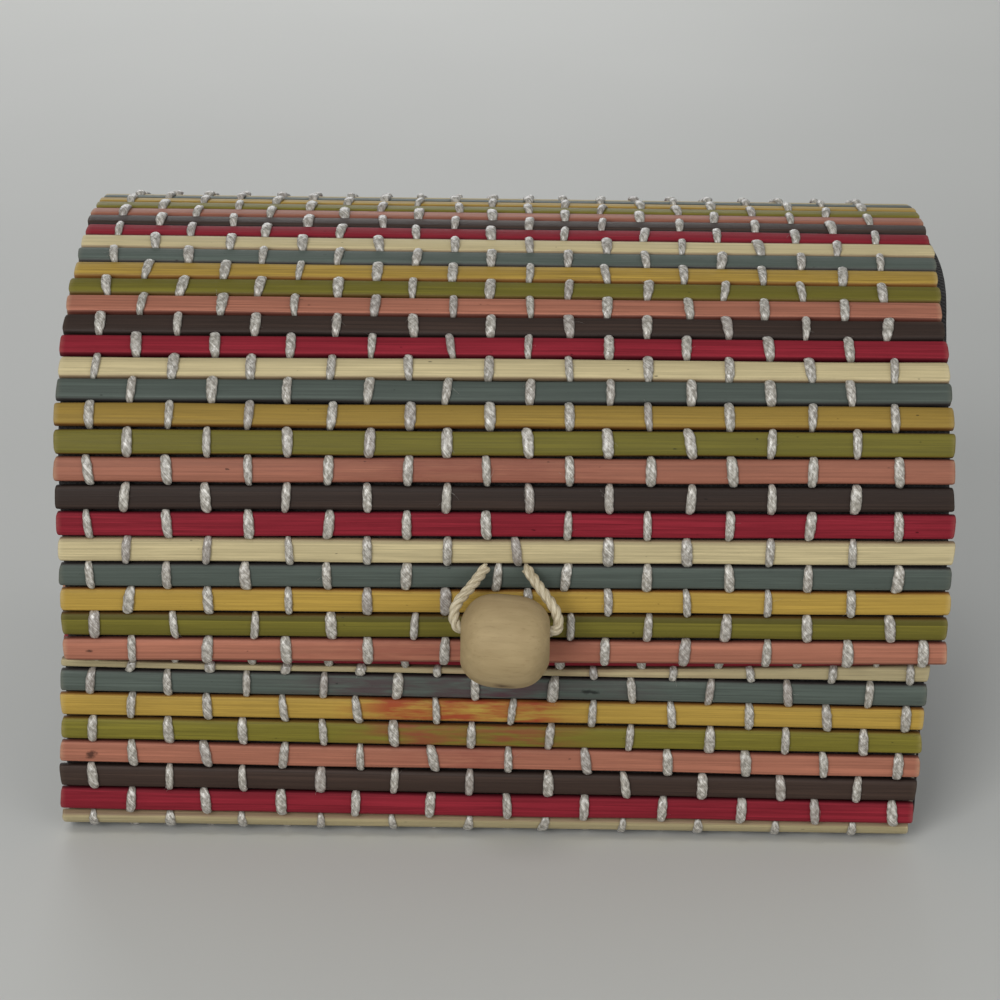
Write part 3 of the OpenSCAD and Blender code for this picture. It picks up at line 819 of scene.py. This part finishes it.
def add_hairs(build, f, x, rng):
    """A few loose fibres standing off a stitch."""
    for _ in range(rng.choice((0, 1, 2, 3))):
        a = rng.uniform(0, 6.3)
        p = np.array((x + rng.uniform(-0.5, 0.5), rng.uniform(-1.2, 1.2), SLAT_T / 2 + 0.45))
        d = np.array((math.cos(a), math.sin(a), rng.uniform(0.15, 0.6)))
        pts = []
        for _ in range(HAIR_POINTS):
            y, z = off(f, p[1], p[2])
            pts.append((p[0], y, z))
            d = d + np.array((rng.uniform(-0.5, 0.5), rng.uniform(-0.5, 0.5), -0.22))
            p = p + d * rng.uniform(0.12, 0.36)
            p[2] = max(p[2], SLAT_T / 2 + 0.04)
        rows = [
            [(px + HAIR_R * math.cos(q), py + HAIR_R * math.sin(q), pz) for q in (0, 2.1, 4.2)] for px, py, pz in pts
        ]
        verts, faces, uvs, ends = rings(rows, [0.3 * i for i in range(HAIR_POINTS)], [0, 0.1, 0.2, 0.3])
        build.add(verts, faces + ends, uvs + [[(0.0, 0.0)] * 3] * 2, tone=0.0)


# The threads wander to the left of an even spacing and leave room for one more at the right. Two stitches make way
# for the cord and one is frayed, by row and thread. Those below UNDER_Z lie under the floor, flat and without fibres.
BESIDE_CORD = {(3, 10): 0.1, (4, 11): -2.8}
CALM_ROW, LID_SHIFT, DRAW_IN, DRAW_IN_ROWS = 1, -0.9, 0.012, 15
FRAYED, FRAYED_HAIRS, UNDER_Z = (39, 2), 6, 3.5


def lid_stitch_x(i, k):
    x = warp_x(k)
    wander = table(x, [-60, -20, 10, 45, 60, 66], [-0.6, -1.2, -1.5, -1.5, -0.8, -2.1])
    if i == CALM_ROW:
        wander *= table(x, [0, 22], [0.0, 1.0])
    wander = BESIDE_CORD.get((i, k), wander)
    return x * (1 - DRAW_IN * min(1.0, i / DRAW_IN_ROWS)) + LID_SHIFT + wander


def base_stitch_x(i, k):
    x = warp_x(k)
    return x + base_aside(i) + table(x, [-60, -25, 0, 60], [-1.1, -2.0, -2.9, -2.9])


def base_run(i):
    if i < FLOOR_FIRST:
        return "base_back_yarn"
    return "base_floor_yarn" if i <= FLOOR_LAST else "base_front_yarn"


yarns = {n: Build() for n in ("lid_yarn", "base_front_yarn", "base_floor_yarn", "base_back_yarn")}
for i in range(LID_N):
    f = lid_slat_at(i)
    for k in range(WARP_N + (i == 0)):
        if (i + k) % 2:
            x = lid_stitch_x(i, k)
            low, high = lid_edges(i, x)
            g = (off(f, (low + high) / 2, 0), f[1])
            add_stitch(yarns["lid_yarn"], g, x, high - low + SHOWN_GAP, rng)
            add_hairs(yarns["lid_yarn"], g, x, rng)
for i in range(BASE_N):
    f = base_slat_at(i)
    yarn = yarns[base_run(i)]
    for k in range(WARP_N + 1):
        if (i + k) % 2:
            x = base_stitch_x(i, k)
            low, high = base_edges(i, x)
            g = (off(f, (low + high) / 2, 0), f[1])
            under = g[0][1] < UNDER_Z
            add_stitch(yarn, g, x, high - low + SHOWN_GAP, rng, under)
            for _ in range(0 if under else FRAYED_HAIRS if (i, k) == FRAYED else 1):
                add_hairs(yarn, g, x, rng)
for node, b in yarns.items():
    o = b.object("stitches_" + node, [yarn_white])
    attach(o, node.split("_")[0])
    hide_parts(node)


def cloth(name, p, thick, material):
    """A closed sheet of cloth about a grid of points, in millimetres."""
    du, dv = np.gradient(p, axis=0), np.gradient(p, axis=1)
    normal = np.cross(du, dv)
    normal /= np.maximum(np.linalg.norm(normal, axis=2), 1e-9)[:, :, None]
    a, b = p + normal * thick / 2, p - normal * thick / 2
    rows, cols = p.shape[:2]
    us = np.concatenate([[0], np.cumsum(np.linalg.norm(np.diff(p, axis=0), axis=2).mean(1))])
    vs = np.concatenate([[0], np.cumsum(np.linalg.norm(np.diff(p, axis=1), axis=2).mean(0))])
    verts = [tuple(x) for x in a.reshape(-1, 3)] + [tuple(x) for x in b.reshape(-1, 3)]
    size = rows * cols
    faces, uvs = [], []

    def face(*corners):
        faces.append(tuple(i * cols + j + side * size for i, j, side in corners))
        uvs.append([(us[i] + 0.3 * side, vs[j]) for i, j, side in corners])

    for i in range(rows - 1):
        for j in range(cols - 1):
            face((i, j, 0), (i + 1, j, 0), (i + 1, j + 1, 0), (i, j + 1, 0))
            face((i, j, 1), (i, j + 1, 1), (i + 1, j + 1, 1), (i + 1, j, 1))
    for i in range(rows - 1):
        face((i, 0, 0), (i, 0, 1), (i + 1, 0, 1), (i + 1, 0, 0))
        face((i, cols - 1, 0), (i + 1, cols - 1, 0), (i + 1, cols - 1, 1), (i, cols - 1, 1))
    for j in range(cols - 1):
        face((0, j, 0), (0, j + 1, 0), (0, j + 1, 1), (0, j, 1))
        face((rows - 1, j, 0), (rows - 1, j, 1), (rows - 1, j + 1, 1), (rows - 1, j + 1, 0))
    b = Build()
    b.add(verts, faces, uvs)
    return b.object(name, [material])


def ripple(x, s, seed):
    return (
        0.35 * math.sin(0.21 * x + 1.3 * seed) * math.sin(0.17 * s + seed)
        + 0.3 * math.sin(0.5 * x - 0.3 * s + 2.1 * seed)
        + 0.35 * math.sin(0.83 * s + 0.06 * x + seed)
    )


LINING_ROWS, LINING_COLS, LINING_BACK = 150, 42, 0.02
PROUD_EDGE, PROUD_ROW, PROUD_ROWS = 8, 17.0, 4.2


def lining(name, at, lo, hi, half, pitch, start, aside, body, node, proud=0.0):
    """Cloth behind the slats from lo to hi along a profile; its right edge may stand proud near the crown."""
    ss = np.linspace(lo, hi, LINING_ROWS)
    xs = np.linspace(-half, half, LINING_COLS)
    mid = (lining_in + lining_out) / 2 + LINING_BACK
    p = np.zeros((len(ss), len(xs), 3))
    for a, s in enumerate(ss):
        f = at(s)
        for b, x in enumerate(xs):
            n = -mid + 0.025 * ripple(x, s, 1.0) + 0.02 * math.cos(2 * math.pi * (s - start) / pitch)
            y, z = off(f, 0, n)
            edge = min(1.0, max(0.0, (x - half + PROUD_EDGE) / PROUD_EDGE)) ** 2
            crown = math.exp(-(((s - lo) / pitch - PROUD_ROW) / PROUD_ROWS) ** 2)
            x += aside((s - start) / pitch - 0.5)
            p[a, b] = (x + proud * edge * crown, y, z)
    o = cloth(name, p, SHOWN_CLOTH_T, black_cloth)
    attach(o, body)
    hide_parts(node)


lining(
    "lining_in_lid", lid_at, SLAT_GAP, lid_l - SEAT_CLEAR / 2, half=SLAT_L / 2 - 0.8, pitch=lid_p, start=0.0,
    aside=lid_aside, body="lid", node="lid_lining", proud=1.9,
)
lining(
    "lining_in_base", base_at, SEAT_CLEAR / 2, base_l - SLAT_GAP / 2, half=base_slat_l / 2 - 0.5, pitch=base_p,
    start=mat_end, aside=base_aside, body="base", node="base_lining",
)


panel_t = BOARD_T + 2 * COVER_T
PANEL_ROWS, FOLD_STEPS, FOLD_LIFT, PANEL_CLEAR = 16, 7, 0.55, 0.04


def end_cover(name, rim, edge_z, x_out, side, body, node):
    """Cloth folded over a board at the parting line: down the outside, round the edge and up the inside."""
    half = COVER_T / 2
    radius = panel_t / 2 - half
    rim = np.array(rim)
    count = len(rim)
    foot = np.stack([np.linspace(rim[0, 0], rim[-1, 0], count), np.full(count, edge_z)], 1)
    up = 1 if rim[:, 1].mean() > edge_z else -1

    def sheet_row(x, t):
        flat = rim * (1 - t) + foot * t
        return [(x, y, z + up * FOLD_LIFT * t**6) for y, z in flat]

    rows = [sheet_row(x_out - half, t) for t in np.linspace(0, 1, PANEL_ROWS)]
    for q in np.linspace(0, math.pi, FOLD_STEPS)[1:-1]:
        x = x_out - half - radius + radius * math.cos(q)
        z = edge_z + up * FOLD_LIFT - up * (FOLD_LIFT - half) * math.sin(q)
        rows.append([(x, y, z) for y in foot[:, 0]])
    rows += [sheet_row(x_out - panel_t + half, t) for t in np.linspace(1, 0, PANEL_ROWS)]
    p = np.array(rows, float)
    for a in range(p.shape[0]):
        for b in range(p.shape[1]):
            p[a, b, 0] += 0.03 * ripple(p[a, b, 1], p[a, b, 2], 2.0 + side)
    p[:, :, 0] *= side
    if side * up < 0:
        p = p[:, ::-1]
    o = cloth(name, p, SHOWN_CLOTH_T, black_cloth)
    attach(o, body)
    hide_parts(node)


cheek_s = FLAP_L - CHEEK_H + SEAT_CLEAR / 2
rim_off = -panel_off - PANEL_CLEAR
lid_rim = [off(lid_at(s), 0, rim_off) for s in np.linspace(cheek_s, lid_l - SEAT_CLEAR / 2, 90)]
base_rim = [off(base_at(s), 0, rim_off) for s in np.linspace(SEAT_CLEAR / 2, base_l - SEAT_CLEAR / 2, 100)]
PANELS = {
    "lid": (lid_rim, BASE_H + SEAT_CLEAR / 2, SLAT_L / 2),
    "base": (base_rim, BASE_H - SEAT_CLEAR / 2, base_slat_l / 2),
}
for side, word in ((-1, "left"), (1, "right")):
    for body, (rim, edge_z, slat_end) in PANELS.items():
        board = f"{body}_end_board_{word}"
        end_cover(
            f"cloth_{body}_end_{word}", rim, edge_z, slat_end - END_INSET, side, body,
            f"{body}_end_cover_{word}",
        )
        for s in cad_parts[board].material_slots:
            s.material = grey_card


# Hinge cloth: one strip glued to both linings, which bends at the parting line
HINGE_BEND, HINGE_ROWS, HINGE_COLS = 1.6, 16, 60
half = base_slat_l / 2 - END_INSET - panel_t - HINGE_INSET
line = [off(lid_at(s), 0, -panel_off - HINGE_T / 2) for s in np.linspace(lid_l - HINGE_H, lid_l, HINGE_ROWS)]
line += [off(base_at(s), 0, -panel_off - HINGE_T / 2) for s in np.linspace(0, HINGE_H, HINGE_ROWS)[1:]]
xs = np.linspace(-half, half, HINGE_COLS)
p = np.array([[(x, y + 0.02 * ripple(x, z, 5.0), z) for x in xs] for y, z in line])
hinge = cloth("hinge_strip", p, SHOWN_HINGE_T, black_cloth)
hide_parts("hinge_cloth")
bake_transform(hinge)


# Knots behind the lining of the flap, each with a stub that reaches the cord's exit
KNOT_SIZE = 0.37
build = Build()
knot_y = -HALF_D + lining_out + FIT + KNOT_D / 2
for side in (-1, 1):
    ts = np.linspace(0, 2 * math.pi, 90)
    knot_x = side * exit_x + PULL_X
    centre = np.array((knot_x, knot_y, pull_z))
    loop = KNOT_SIZE * np.stack([
        np.sin(ts) + 2 * np.sin(2 * ts), -1.15 * np.sin(3 * ts), np.cos(ts) - 2 * np.cos(2 * ts),
    ], 1)
    twisted(build, loop + centre, plies=2, ply_r=0.3, helix_r=0.26, pitch=3.0, sides=7)
    stub, _ = smooth_line([
        centre + (0, -0.4, 0), centre + (0, -1.6, 0.05), centre + (0, -2.9, 0.0), (knot_x, pull_y + 0.9, pull_z),
    ], 24)
    twisted(build, stub, plies=2, ply_r=0.17, helix_r=0.14, pitch=3.0, sides=7)
knots = build.object("knots", [cotton_cord])
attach(knots, "lid")
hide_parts("cord_knots")


# Stage and light
def floor_material():
    g = Graph("floor_paint")
    cloud = g.noise(g.coords((3.0, 3.0, 3.0), kind="object"), detail=3.0)
    c = g.mix(g.span(cloud, 0.3, 0.7), lin(195, 195, 191), lin(202, 202, 198))
    return g.set(Base_Color=c, Roughness=0.6)


FLOOR_HALF, WORLD_COLOUR, WORLD_STRENGTH = 4, (0.95, 0.98, 1.0, 1.0), 0.35
mesh = bpy.data.meshes.new("floor")
corners = [(FLOOR_HALF * x, FLOOR_HALF * y, 0) for x, y in ((-1, -1), (1, -1), (1, 1), (-1, 1))]
mesh.from_pydata(corners, [], [(0, 1, 2, 3)])
mesh.materials.append(floor_material())
floor = bpy.data.objects.new("floor", mesh)
bpy.context.scene.collection.objects.link(floor)


def area_light(name, place, target, size, power):
    data = bpy.data.lights.new(name, "AREA")
    data.shape = "RECTANGLE"
    data.size, data.size_y = size
    data.energy = power
    o = bpy.data.objects.new(name, data)
    o.location = place
    o.rotation_mode = "QUATERNION"
    o.rotation_quaternion = (Vector(target) - Vector(place)).to_track_quat("-Z", "Y")
    bpy.context.scene.collection.objects.link(o)


area_light("key", (-0.5, -1.05, 0.60), (0, 0, 0.05), (0.6, 0.6), 7.5)
area_light("fill", (0.7, -0.9, 0.45), (0, 0, 0.05), (0.8, 0.6), 2.6)
area_light("top", (-0.12, -0.5, 1.2), (0, 0, 0.05), (0.22, 0.22), 1.5)
area_light("back", (-0.2, 1.15, 0.42), (0, 0.05, 0.04), (0.8, 0.5), 2.4)
area_light("far", (0, 0.55, 0.7), (0, 1.8, 0.1), (0.9, 0.4), 1.9)
world = bpy.data.worlds.new("studio")
world.use_nodes = True
sky = world.node_tree.nodes["Background"]
sky.inputs[0].default_value = WORLD_COLOUR
sky.inputs[1].default_value = WORLD_STRENGTH
bpy.context.scene.world = world
bpy.context.scene.view_settings.view_transform = "Standard"

bpy.context.view_layer.update()
